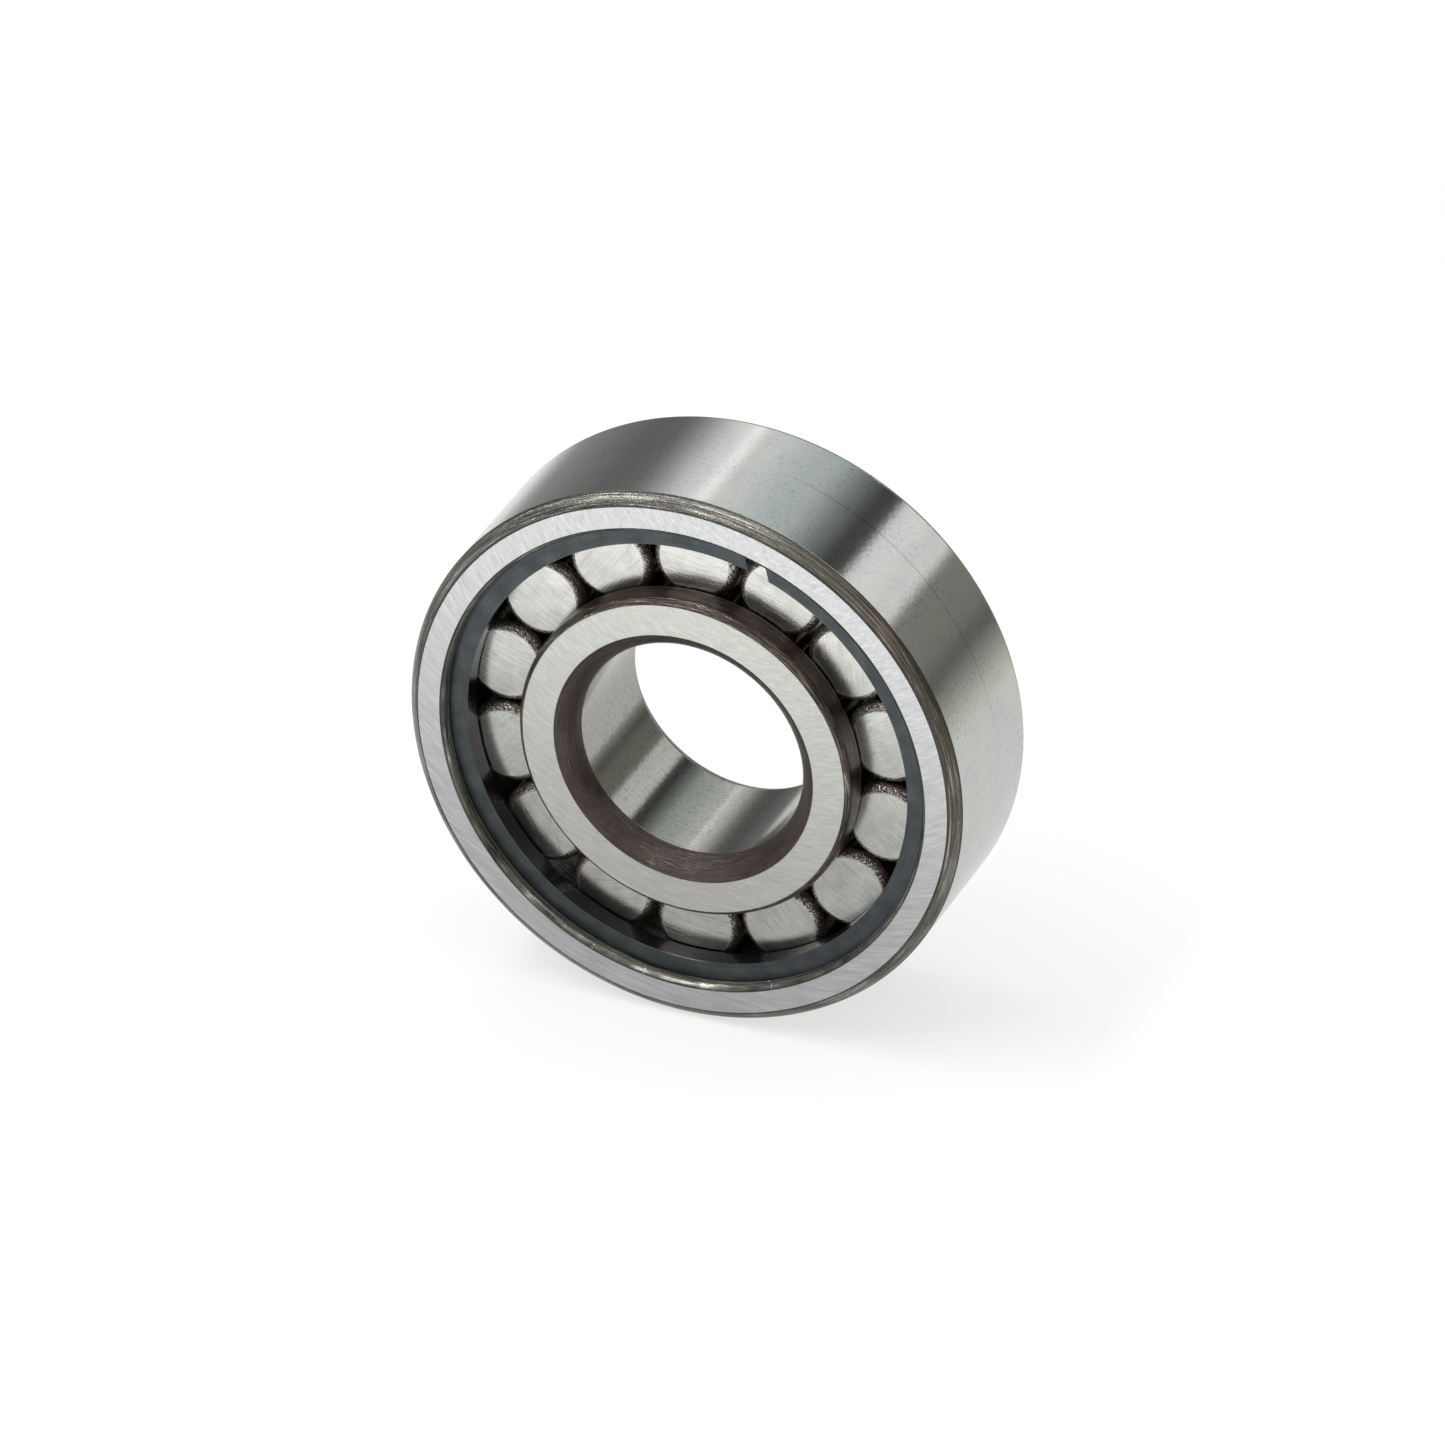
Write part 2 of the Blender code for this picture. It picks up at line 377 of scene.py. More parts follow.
# %% The lathe tree
def make_lathe_tree():
    """Carries an outline, radius as x and place along the axis as y, round the Y axis."""
    bench, given = new_shape_tree("lathe", [("Facets", "NodeSocketInt"),
                                            ("Finish", "NodeSocketMaterial")])
    columns = given["Facets"] + 1
    points = bench.node("GeometryNodeAttributeDomainSize", {}, {"Geometry": given["Geometry"]})
    grid = bench.node("GeometryNodeMeshGrid", {}, {"Vertices X": points, "Vertices Y": columns})
    index = bench.node("GeometryNodeInputIndex", {}, {})
    row = bench.maths("FLOOR", (index + 0.5) / columns)
    column = index - row * columns
    place = bench.node("GeometryNodeInputPosition", {}, {})
    on_outline = bench.node("GeometryNodeSampleIndex", {"data_type": "FLOAT_VECTOR"},
                            {"Geometry": given["Geometry"], "Value": place, "Index": row})
    radius, along, unused = bench.parts(on_outline)
    turn = column / given["Facets"] * math.tau
    turned = bench.vector(radius * bench.maths("COSINE", turn), along,
                          radius * bench.maths("SINE", turn))
    moved = bench.node("GeometryNodeSetPosition", {}, {"Geometry": grid, "Position": turned})
    closed = bench.node("GeometryNodeMergeByDistance", {},
                        {"Geometry": moved, "Distance": 0.002 * MM})
    finish_shape_tree(bench, closed, given["Finish"])
    return bench.tree


lathe_tree = make_lathe_tree()
print("lathe tree:", len(lathe_tree.nodes), "nodes")


# %% [markdown]
# ## From a tree to a plain mesh
#
# A modifier recomputes its shape every time the scene is read. The finished model needs plain
# meshes, so the evaluated shape is copied out and the modifier is taken off. The copy gets its
# doubles merged, its faces turned outwards and a crease wherever two faces meet at an angle,
# so that smooth shading stops at the ground edges.


# %% Turn an evaluated shape into a plain piece
def settle(piece):
    """Replaces the piece's mesh with its evaluated shape and takes its modifiers off."""
    depsgraph = bpy.context.evaluated_depsgraph_get()
    mesh = bpy.data.meshes.new_from_object(piece.evaluated_get(depsgraph))
    piece.modifiers.clear()
    piece.data = mesh
    mesh.name = piece.name
    shape = bmesh.new()
    shape.from_mesh(mesh)
    bmesh.ops.remove_doubles(shape, verts=shape.verts, dist=0.001 * MM)
    bmesh.ops.recalc_face_normals(shape, faces=shape.faces)
    for face in shape.faces:
        face.smooth = True
    for edge in shape.edges:
        edge.smooth = edge.calc_face_angle(0) < CREASE
    open_edges = sum(1 for edge in shape.edges if not edge.is_manifold)
    triangles = sum(len(face.verts) - 2 for face in shape.faces)
    shape.to_mesh(mesh)
    shape.free()
    print(f"{piece.name}: {triangles} triangles, {open_edges} open edges")
    return piece


# %% [markdown]
# ## Steel finishes
#
# All the pieces are the same kind of steel, and what tells them apart is how each surface was
# finished. Ground faces are pale and carry fine scratches in the direction that the wheel
# passed. Turned corners that no wheel touched keep a brown skin from the heat treatment. The
# retaining ring is blued.
#
# One material holds all the finishes of a piece. It reads the piece's own coordinates, works
# out how far a point is from the axis and from the side faces, and mixes the finishes there.


# %% Helpers for finishes
def new_finish(name):
    """An empty material and a bench for its nodes."""
    material = bpy.data.materials.new(name)
    material.use_nodes = True
    material.node_tree.nodes.clear()
    return material, Bench(material.node_tree)


def in_millimetres(bench, vector):
    """x, y and z of a place, in millimetres."""
    scaled = bench.node("ShaderNodeVectorMath", {"operation": "SCALE"},
                        {"Vector": vector, "Scale": 1000.0})
    return bench.parts(scaled)


def between(bench, value, low, high):
    """0 below low, 1 above high and a soft step between. Low may be the larger."""
    return bench.node("ShaderNodeMapRange", {"interpolation_type": "SMOOTHSTEP"},
                      {"Value": value, "From Min": low, "From Max": high})


def grain(bench, vector, detail=2.0, rough=0.5, scale=1.0):
    """Smooth random values about one unit across, from 0 to 1."""
    return bench.node("ShaderNodeTexNoise", {"noise_dimensions": "3D"},
                      {"Vector": vector, "Scale": scale, "Detail": detail, "Roughness": rough})


def colours(bench, value, stops):
    """Colours along a value."""
    return bench.node("ShaderNodeValToRGB", {"stops": stops}, {0: value})


def mix_colours(bench, share, first, second, way="MIX"):
    """Two colours mixed, share of the second."""
    return bench.node("ShaderNodeMix", {"data_type": "RGBA", "blend_type": way},
                      {0: share, 6: first, 7: second}, out=2)


def mix_values(share, first, second):
    """Two values mixed, share of the second."""
    return first + share * (second - first)


def finish_metal(bench, colour, metal, roughness, height):
    """Ends a metal: what varies goes to colour, bareness, roughness and bump."""
    bump = bench.node("ShaderNodeBump", {}, {"Strength": 1.0, "Distance": 0.002 * MM,
                                             "Height": height})
    shader = bench.node("ShaderNodeBsdfPrincipled", {},
                        {"Base Color": colour, "Metallic": metal, "Roughness": roughness,
                         "Normal": bump})
    bench.node("ShaderNodeOutputMaterial", {}, {"Surface": shader}, out=None)


# %% [markdown]
# ### Ground side faces
#
# A side face is ground by the rim of a large cup wheel, whose middle lies well outside the
# ring. The scratches that it leaves are parts of circles about that point. Stretching noise
# along those circles gives them: the distance from the wheel's middle changes it fast, and the
# angle round it slowly.


# %% Scratches, roughness and height of a ground face
WHEEL_X = 10.4
WHEEL_Z = 38.6


def wheel_scratches(bench, x, z, number):
    """Random values drawn out along circles about the wheel's middle, in millimetres."""
    across = x - WHEEL_X
    up = z - WHEEL_Z
    reach = bench.maths("SQRT", across * across + up * up)
    swing = bench.maths("ARCTAN2", up, across)
    fine = grain(bench, bench.vector(reach * 8.0, swing * 20.0, number), detail=3.0, rough=0.7)
    broad = grain(bench, bench.vector(reach * 2.4, swing * 13.0, number + 7.0), detail=2.0)
    return fine, broad


def hair_scratches(bench, x, z, number):
    """A few thin scratches that cross the wheel's own, as handling leaves."""
    lean = grain(bench, bench.vector(x * 0.22, z * 0.22, number), detail=1.0)
    along = x * 0.34 + z * 0.94
    side = x * 0.94 - z * 0.34
    fine = grain(bench, bench.vector(side * 6.0 + lean * 9.0, along * 0.35, number + 3.0))
    return between(bench, fine, 0.70, 0.74)


def ground_face(fine, broad, mottle, hairs):
    """Roughness and height of a ground side face."""
    rough = 0.30 + fine * 0.10 + hairs * 0.06
    height = fine * 3.6 + broad * 3.0 + mottle * 2.0 - hairs * 1.6
    return rough, height


# %% Skin of a turned corner
SKIN_HEIGHT = 60.0
OLIVE = [(0.36, (0.020, 0.018, 0.014)), (0.45, (0.070, 0.067, 0.054)),
         (0.54, (0.160, 0.155, 0.130)), (0.66, (0.480, 0.475, 0.440))]
BROWN = [(0.40, (0.018, 0.012, 0.010)), (0.48, (0.052, 0.038, 0.031)),
         (0.56, (0.115, 0.090, 0.072)), (0.65, (0.420, 0.385, 0.320))]
RUSSET = [(0.34, (0.016, 0.010, 0.009)), (0.49, (0.044, 0.031, 0.027)),
          (0.64, (0.090, 0.070, 0.058)), (0.80, (0.380, 0.345, 0.300))]


def corner_skin(bench, across, turn, number, tones):
    """Streaks that run round the axis, in the tones of the skin. Across is in millimetres."""
    streak = grain(bench, bench.vector(turn * 2.5, across * 3.4, number), detail=4.0, rough=0.75)
    lines = grain(bench, bench.vector(turn * 9.0, across * 9.0, number + 2.0), detail=3.0)
    patch = grain(bench, bench.vector(turn * 3.0, across * 0.6, number + 5.0), detail=3.0)
    nicks = grain(bench, bench.vector(turn * 50.0, across * 3.0, number + 9.0), detail=2.0)
    tone = streak * 0.85 + lines * 0.5 + patch * 0.3 - 0.325
    tone = tone + between(bench, nicks, 0.64, 0.72) * 0.10
    bare = between(bench, tone, 0.46, 0.62)
    return colours(bench, tone, tones), tone, bare


# %% [markdown]
# ### The outer ring's finish
#
# The ring shows three finishes. The side faces are satin, with the wheel's scratches. The
# outside is ground fine enough to mirror the room in long bands. The corners between them and
# the narrow land in front of the retaining ring keep their dark skin.


# %% Outer ring finish
def outer_ring_finish():
    """Ground faces and outside, dark turned corners and land."""
    material, bench = new_finish("outer_ring_ground_steel")
    place = bench.node("ShaderNodeTexCoord", {}, {}, out="Object")
    x, y, z = in_millimetres(bench, place)
    radius = bench.maths("SQRT", x * x + z * z)
    turn = bench.maths("ARCTAN2", z, x)
    middle = (outer_front + outer_back) / 2 / MM
    half = (outer_back - outer_front) / 2 / MM
    from_middle = bench.maths("ABSOLUTE", y - middle)
    on_face = between(bench, from_middle, half - 0.012, half - 0.004)
    on_outside = between(bench, radius, outer_radius / MM - 0.014, outer_radius / MM - 0.006)
    fine, broad = wheel_scratches(bench, x, z, 1.0)
    hairs = hair_scratches(bench, x, z, 2.0)
    skin, skin_tone, skin_bare = corner_skin(bench, radius - from_middle, turn, 3.0, OLIVE)
    near_face = between(bench, from_middle, half - 0.12, half - 0.04)
    near_outside = between(bench, radius, outer_radius / MM - 0.16, outer_radius / MM - 0.06)
    brown_side = between(bench, bench.maths("ABSOLUTE", turn - 0.5), 1.1, 0.2)
    skin = mix_colours(bench, brown_side * 0.75, skin, (0.60, 0.48, 0.42, 1), "MULTIPLY")
    lip = bench.maths("MAXIMUM", near_face, near_outside)
    skin = mix_colours(bench, lip * 0.75, skin, (0.018, 0.017, 0.013, 1))
    mottle = grain(bench, bench.vector(x * 5.0, z * 5.0, 3.0), detail=3.0, rough=0.7)
    face_colour = colours(bench, fine * 0.5 + broad * 0.3 + mottle * 0.2 - hairs * 0.08,
                          [(0.34, (0.33, 0.335, 0.335)), (0.49, (0.43, 0.435, 0.44)),
                           (0.64, (0.56, 0.57, 0.58))])
    outside_grain = grain(bench, bench.vector(turn * 55.0, y * 5.5, 4.0), detail=3.0, rough=0.65)
    outside_lines = grain(bench, bench.vector(turn * 3.0, y * 9.0, 5.0), detail=3.0)
    outside_patch = grain(bench, bench.vector(turn * 9.0, y * 0.22, 6.0), detail=3.0)
    outside_colour = mix_colours(bench, outside_lines, (0.49, 0.50, 0.495, 1),
                                 (0.59, 0.60, 0.59, 1))
    warm = between(bench, outside_patch, 0.40, 0.66)
    outside_colour = mix_colours(bench, warm * 0.4, outside_colour, (0.575, 0.565, 0.515, 1))
    pits = between(bench, outside_grain, 0.48, 0.30) * between(bench, outside_patch, 0.70, 0.36)
    outside_colour = mix_colours(bench, pits * 0.75, outside_colour, (0.17, 0.17, 0.16, 1))
    seam = between(bench, bench.maths("ABSOLUTE", y - middle - 1.4), 0.10, 0.04)
    seam = seam * between(bench, turn, 0.10, 0.40) * between(bench, turn, 1.45, 1.20)
    outside_colour = mix_colours(bench, seam * 0.6, outside_colour, (0.20, 0.20, 0.18, 1))
    ground = mix_colours(bench, on_outside, face_colour, outside_colour)
    bright = bench.maths("MAXIMUM", on_face, on_outside)
    colour = mix_colours(bench, bright, skin, ground)
    face_rough, face_height = ground_face(fine, broad, mottle, hairs)
    outside_rough = 0.05 + outside_grain * 0.06
    skin_rough = 0.16 + skin_tone * 0.12
    rough = mix_values(bright, skin_rough, mix_values(on_outside, face_rough, outside_rough))
    outside_height = outside_grain * 3.8 + outside_lines * 0.3
    height = mix_values(bright, skin_tone * SKIN_HEIGHT,
                        mix_values(on_outside, face_height, outside_height))
    metal = mix_values(bright, 0.35 + skin_bare * 0.5, 1.0)
    finish_metal(bench, colour, metal, rough, height)
    return material


outer_ring_steel = outer_ring_finish()
print("outer ring finish:", len(outer_ring_steel.node_tree.nodes), "nodes")

# %% [markdown]
# ### The inner ring's finish
#
# The inner ring has the same side faces and corners, from another batch that came out a
# little greener. Its bore is ground too, and the rib's outside is left smooth and brown.


# %% Inner ring finish
def inner_ring_finish():
    """Ground faces and bore, brown corners and ribs."""
    material, bench = new_finish("inner_ring_ground_steel")
    place = bench.node("ShaderNodeTexCoord", {}, {}, out="Object")
    x, y, z = in_millimetres(bench, place)
    radius = bench.maths("SQRT", x * x + z * z)
    turn = bench.maths("ARCTAN2", z, x)
    middle = (inner_front + inner_back) / 2 / MM
    half = (inner_back - inner_front) / 2 / MM
    from_middle = bench.maths("ABSOLUTE", y - middle)
    on_face = between(bench, from_middle, half - 0.012, half - 0.004)
    rear = between(bench, y, 0.0, 1.0)
    bore = BORE_RADIUS / MM
    on_bore = between(bench, radius - rear * 0.02, bore + 0.014, bore + 0.006)
    on_raceway = between(bench, from_middle, half - 2.8, half - 3.2)
    on_rib = between(bench, radius, inner_radius / MM - 0.016, inner_radius / MM - 0.008)
    fine, broad = wheel_scratches(bench, x, z, 11.0)
    hairs = hair_scratches(bench, x, z, 12.0)
    across = radius - from_middle
    skin, skin_tone, skin_bare = corner_skin(bench, across, turn, 13.0, BROWN)
    hollow = radius + from_middle
    bore_skin, bore_tone, bore_bare = corner_skin(bench, hollow, turn, 14.0, RUSSET)
    in_bore = between(bench, radius, bore + 2.3, bore + 2.2)
    skin = mix_colours(bench, in_bore, skin, bore_skin)
    mottle = grain(bench, bench.vector(x * 5.0, z * 5.0, 8.0), detail=3.0, rough=0.7)
    face_colour = colours(bench, fine * 0.45 + broad * 0.2 + mottle * 0.35 - hairs * 0.08,
                          [(0.34, (0.32, 0.325, 0.300)), (0.49, (0.42, 0.425, 0.395)),
                           (0.64, (0.54, 0.55, 0.51))])
    bore_lines = grain(bench, bench.vector(turn * 2.0, y * 5.0, 15.0), detail=3.0)
    bore_grain = grain(bench, bench.vector(turn * 24.0, y * 6.0, 16.0), detail=3.0)
    bore_colour = mix_colours(bench, bore_lines, (0.27, 0.265, 0.245, 1), (0.46, 0.455, 0.425, 1))
    bore_pits = between(bench, bore_grain, 0.47, 0.32)
    bore_colour = mix_colours(bench, bore_pits * 0.6, bore_colour, (0.12, 0.12, 0.11, 1))
    rib_colour = colours(bench, skin_tone, [(0.40, (0.022, 0.014, 0.012)),
                                            (0.50, (0.060, 0.042, 0.036)),
                                            (0.62, (0.170, 0.135, 0.110))])
    skin = mix_colours(bench, on_rib, skin, rib_colour)
    smooth = bench.maths("MAXIMUM", on_bore, on_raceway)
    ground = mix_colours(bench, smooth, face_colour, bore_colour)
    bright = bench.maths("MAXIMUM", on_face, smooth)
    colour = mix_colours(bench, bright, skin, ground)
    face_rough, face_height = ground_face(fine, broad, mottle, hairs)
    bore_rough = 0.08 + bore_grain * 0.07
    skin_rough = mix_values(on_rib, 0.16 + skin_tone * 0.12, 0.30)
    rough = mix_values(bright, skin_rough, mix_values(smooth, face_rough, bore_rough))
    bore_height = bore_grain * 4.0 + bore_lines * 2.4
    corner_tone = mix_values(in_bore, skin_tone, bore_tone)
    skin_height = mix_values(on_rib, corner_tone * SKIN_HEIGHT, skin_tone * 10.0)
    height = mix_values(bright, skin_height, mix_values(smooth, face_height, bore_height))
    skin_metal = mix_values(in_bore, 0.35 + skin_bare * 0.5, 0.35 + bore_bare * 0.5)
    metal = mix_values(bright, skin_metal, 1.0)
    finish_metal(bench, colour, metal, rough, height)
    return material


inner_ring_steel = inner_ring_finish()
print("inner ring finish:", len(inner_ring_steel.node_tree.nodes), "nodes")

# %% [markdown]
# ### The retaining ring's finish
#
# Spring steel is blued after it is hardened. The oxide is dark and semi-gloss, and a little
# uneven in tone. The inside and its front and back edges are rubbed smoother, so they are
# glossier, and the inside is browner.


# %% Retaining ring finish
def snap_ring_finish():
    """Dark blued steel with faint tone changes, glossier and browner on the inside."""
    material, bench = new_finish("snap_ring_blued_steel")
    place = bench.node("ShaderNodeTexCoord", {}, {}, out="Object")
    x, y, z = in_millimetres(bench, place)
    radius = bench.maths("SQRT", x * x + z * z)
    turn = bench.maths("ARCTAN2", z, x)
    cloud = grain(bench, bench.vector(x * 0.5, y * 0.5, z * 0.5), detail=3.0)
    speck = grain(bench, bench.vector(x * 9.0, y * 9.0, z * 9.0), detail=3.0, rough=0.6)
    streak = grain(bench, bench.vector(turn * 4.0, radius * 5.0, y * 5.0), detail=3.0)
    tone = cloud * 0.65 + streak * 0.35
    colour = colours(bench, tone, [(0.34, (0.040, 0.048, 0.052)), (0.50, (0.054, 0.062, 0.066)),
                                   (0.68, (0.074, 0.083, 0.086))])
    in_bore = between(bench, radius, SNAP_BORE / MM + 0.02, SNAP_BORE / MM + 0.01)
    edge_width = SNAP_EDGE_BREAK / MM
    edge = between(bench, radius, SNAP_BORE / MM + edge_width + 0.01,
                   SNAP_BORE / MM + edge_width - 0.01)
    colour = mix_colours(bench, in_bore * 0.7, colour, (0.055, 0.043, 0.045, 1))
    rough = mix_values(edge, 0.32 + speck * 0.14, 0.17)
    finish_metal(bench, colour, 0.85, rough, speck * 1.2 + streak * 0.8)
    return material


snap_ring_steel = snap_ring_finish()
print("retaining ring finish:", len(snap_ring_steel.node_tree.nodes), "nodes")

# %% [markdown]
# ### The rollers' finish
#
# Each roller is ground on its ends and its side, then tumbled, which leaves the corners dark
# and slightly rough. The scratches on an end run one way, and no two rollers lie alike in the
# bearing. The roller tree stores each point's place about the roller's own axis and a number
# for each roller, so one material can treat every roller as its own piece.


# %% Roller finish
def roller_finish():
    """Satin ends, dark corners and a bright side, on the roller's own coordinates."""
    material, bench = new_finish("roller_ground_steel")
    own = bench.node("ShaderNodeAttribute", {"attribute_name": "own_place"}, {}, out="Vector")
    number = bench.node("ShaderNodeAttribute", {"attribute_name": "own_number"}, {}, out="Fac")
    x, y, z = in_millimetres(bench, own)
    shift = number * 40.0
    radius = bench.maths("SQRT", x * x + z * z)
    turn = bench.maths("ARCTAN2", z, x)
    half = (roller_back - roller_front) / 2 / MM
    from_middle = bench.maths("ABSOLUTE", y)
    flat = ROLLER_FLAT / MM
    on_end = between(bench, radius, flat + 0.02, flat + 0.005)
    on_end = on_end * between(bench, from_middle, half - 0.3, half - 0.2)
    corner_start = half - ROLLER_CORNER / MM
    on_side = between(bench, from_middle, corner_start, corner_start - 0.05)
    reach = x + z * z * 0.006
    fine = grain(bench, bench.vector(reach * 7.0, z * 0.35, shift), detail=3.0, rough=0.7)
    broad = grain(bench, bench.vector(reach * 1.1, z * 0.2, shift + 9.0), detail=2.0)
    cloud = grain(bench, bench.vector(x * 0.5, z * 0.5, shift + 19.0), detail=2.0)
    speck = grain(bench, bench.vector(x * 5.0, y * 5.0, z * 5.0 + shift), detail=4.0, rough=0.7)
    nick = grain(bench, bench.vector(reach * 4.0, z * 0.30, shift + 29.0), detail=2.0)
    nick = between(bench, nick, 0.62, 0.67)
    end_colour = colours(bench, fine * 0.45 + cloud * 0.3 + speck * 0.25 - nick * 0.06,
                         [(0.36, (0.31, 0.315, 0.295)), (0.50, (0.40, 0.405, 0.38)),
                          (0.64, (0.50, 0.51, 0.475))])
    rim = between(bench, radius, flat + 0.16, flat + 0.06)
    worn = between(bench, speck - (radius - flat) * 0.18, 0.44, 0.49)
    worn = bench.maths("MAXIMUM", rim, worn)
    corner_colour = colours(bench, speck,
                            [(0.35, (0.016, 0.011, 0.010)), (0.55, (0.070, 0.048, 0.042)),
                             (0.70, (0.30, 0.26, 0.23))])
    corner_colour = mix_colours(bench, worn * 0.8, corner_colour, (0.52, 0.51, 0.48, 1))
    colour = mix_colours(bench, on_end, corner_colour, end_colour)
    colour = mix_colours(bench, on_side, colour, (0.50, 0.50, 0.48, 1))
    end_rough = 0.15 + fine * 0.12
    rough = mix_values(on_end, 0.13 + speck * 0.16, end_rough)
    rough = mix_values(on_side, rough, 0.10)
    end_height = fine * 3.6 + broad * 1.6 + speck * 2.0 - nick * 2.0
    height = mix_values(on_end, speck * 34.0, end_height) * (1 - on_side)
    bare = bench.maths("MAXIMUM", bench.maths("MAXIMUM", on_end, on_side), worn)
    finish_metal(bench, colour, mix_values(bare, 0.5, 1.0), rough, height)
    return material


roller_steel = roller_finish()
print("roller finish:", len(roller_steel.node_tree.nodes), "nodes")

# %% [markdown]
# ## The two solid rings
#
# Each ring is its outline run through the lathe tree. 360 facets keep the outside smooth at
# any size that the bearing is likely to be shown at.

# %% Turn the outer and inner rings
RING_FACETS = 360


def turned_ring(name, outline, finish):
    """A ring from its outline, as a plain mesh."""
    piece = run_shape_tree(name, outline_mesh(name, outline), lathe_tree,
                           {"Facets": RING_FACETS, "Finish": finish})
    return settle(piece)


outer_piece = turned_ring("outer_ring_turned", outer_ring_outline(), outer_ring_steel)
inner_piece = turned_ring("inner_ring_turned", inner_ring_outline(), inner_ring_steel)

# %% [markdown]
# ## The retaining ring
#
# The ring is sprung open to pass the land, so it has a gap, and its ends are cut parallel and
# on a slant. The tree below turns the rectangle and takes a slanted block out of it. A bevel
# then breaks every sharp edge, and the glossy inner edge can catch a thin line of light.


# %% The retaining ring tree
def make_snap_ring_tree():
    """A turned ring less a slanted block."""
    bench, given = new_shape_tree("split_ring", [
        ("Facets", "NodeSocketInt"), ("Gap", "NodeSocketFloat"), ("Gap angle", "NodeSocketFloat"),
        ("Skew", "NodeSocketFloat"), ("Gap radius", "NodeSocketFloat"),
        ("Finish", "NodeSocketMaterial")])
    ring = bench.node("GeometryNodeGroup", {"node_tree": lathe_tree},
                      {0: given["Geometry"], 1: given["Facets"], 2: given["Finish"]})
    size = bench.vector(12 * MM, (snap_back - snap_front) * 3, given["Gap"])
    block = bench.node("GeometryNodeMeshCube", {}, {"Size": size})
    centre = bench.vector(given["Gap radius"] * bench.maths("COSINE", given["Gap angle"]),
                          (snap_front + snap_back) / 2,
                          given["Gap radius"] * bench.maths("SINE", given["Gap angle"]))
    lean = bench.vector(0.0, 0.0 - given["Gap angle"] - given["Skew"], 0.0)
    placed = bench.node("GeometryNodeTransform", {},
                        {"Geometry": block, "Translation": centre, "Rotation": lean})
    cut = bench.node("GeometryNodeMeshBoolean", {"operation": "DIFFERENCE", "solver": "EXACT"},
                     {"Mesh 1": ring, "Mesh 2": placed})
    finish_shape_tree(bench, cut, given["Finish"])
    return bench.tree


snap_tree = make_snap_ring_tree()
snap_outline = outline_mesh("snap_ring_split", snap_ring_outline())
snap_piece = run_shape_tree("snap_ring_split", snap_outline, snap_tree, {
    "Facets": RING_FACETS, "Gap": SNAP_GAP, "Gap angle": SNAP_GAP_ANGLE, "Skew": SNAP_GAP_SKEW,
    "Gap radius": (SNAP_BORE + snap_radius) / 2, "Finish": snap_ring_steel})
edge_break = snap_piece.modifiers.new("edge break", "BEVEL")
edge_break.width = SNAP_EDGE_BREAK
edge_break.segments = 3
edge_break.limit_method = "ANGLE"
edge_break.angle_limit = math.radians(50)
settle(snap_piece)

# %% [markdown]
# ## The rollers
#
# Fourteen rollers stand at equal steps round the pitch circle. The tree turns one roller,
# stores its own coordinates on it, then stands an instance of it on each point of the circle
# with a random turn about its own axis. Every roller moves on its own body, so the tree is run
# once for each, and its Number input says which of the points gets a roller.


# %% The roller tree
SPIN_SEED = 6
ROLLER_FACETS = 128


def make_roller_tree():
    """One roller of the set, at its place on the pitch circle."""
    bench, given = new_shape_tree("roller_set", [
        ("Facets", "NodeSocketInt"), ("Count", "NodeSocketInt"), ("Number", "NodeSocketInt"),
        ("Pitch radius", "NodeSocketFloat"), ("First angle", "NodeSocketFloat"),
        ("Middle", "NodeSocketFloat"), ("Finish", "NodeSocketMaterial")])
    roller = bench.node("GeometryNodeGroup", {"node_tree": lathe_tree},
                        {0: given["Geometry"], 1: given["Facets"], 2: given["Finish"]})
    place = bench.node("GeometryNodeInputPosition", {}, {})
    roller = bench.node("GeometryNodeStoreNamedAttribute",
                        {"data_type": "FLOAT_VECTOR", "domain": "POINT"},
                        {"Geometry": roller, "Name": "own_place", "Value": place})
    index = bench.node("GeometryNodeInputIndex", {}, {})
    turn = given["First angle"] + index * math.tau / given["Count"]
    on_circle = bench.vector(given["Pitch radius"] * bench.maths("COSINE", turn), given["Middle"],
                             given["Pitch radius"] * bench.maths("SINE", turn))
    points = bench.node("GeometryNodePoints", {}, {"Count": given["Count"], "Position": on_circle})
    wanted = bench.node("FunctionNodeCompare", {"data_type": "INT", "operation": "EQUAL"},
                        {2: index, 3: given["Number"]})
    spin = bench.node("FunctionNodeRandomValue", {"data_type": "FLOAT"},
                      {2: 0.0, 3: math.tau, "ID": index, "Seed": SPIN_SEED}, out=1)
    stood = bench.node("GeometryNodeInstanceOnPoints", {},
                       {"Points": points, "Selection": wanted, "Instance": roller,
                        "Rotation": bench.vector(0.0, spin, 0.0)})
    share = given["Number"] / given["Count"]
    numbered = bench.node("GeometryNodeStoreNamedAttribute",
                          {"data_type": "FLOAT", "domain": "INSTANCE"},
                          {"Geometry": stood, "Name": "own_number", "Value": share})
    finish_shape_tree(bench, numbered, given["Finish"])
    return bench.tree


roller_tree = make_roller_tree()
roller_pieces = []
for number, name in enumerate(roller_names):
    outline = outline_mesh(name, roller_outline())
    piece = run_shape_tree(f"{name}_ground", outline, roller_tree, {
        "Facets": ROLLER_FACETS, "Count": len(roller_names), "Number": number,
        "Pitch radius": pitch_radius, "First angle": first_angle,
        "Middle": (roller_front + roller_back) / 2, "Finish": roller_steel})
    roller_pieces.append(settle(piece))

# %% [markdown]
# ## Onto the bodies
#
# Each piece rides on the body that moves it and stands for one solid of the imported model, which
# is hidden.


# %% Ride and replace
def give_to_body(piece, body, node):
    """The piece moves with the body, and the solid that it stands for is hidden."""
    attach(piece, body)
    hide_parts(node)


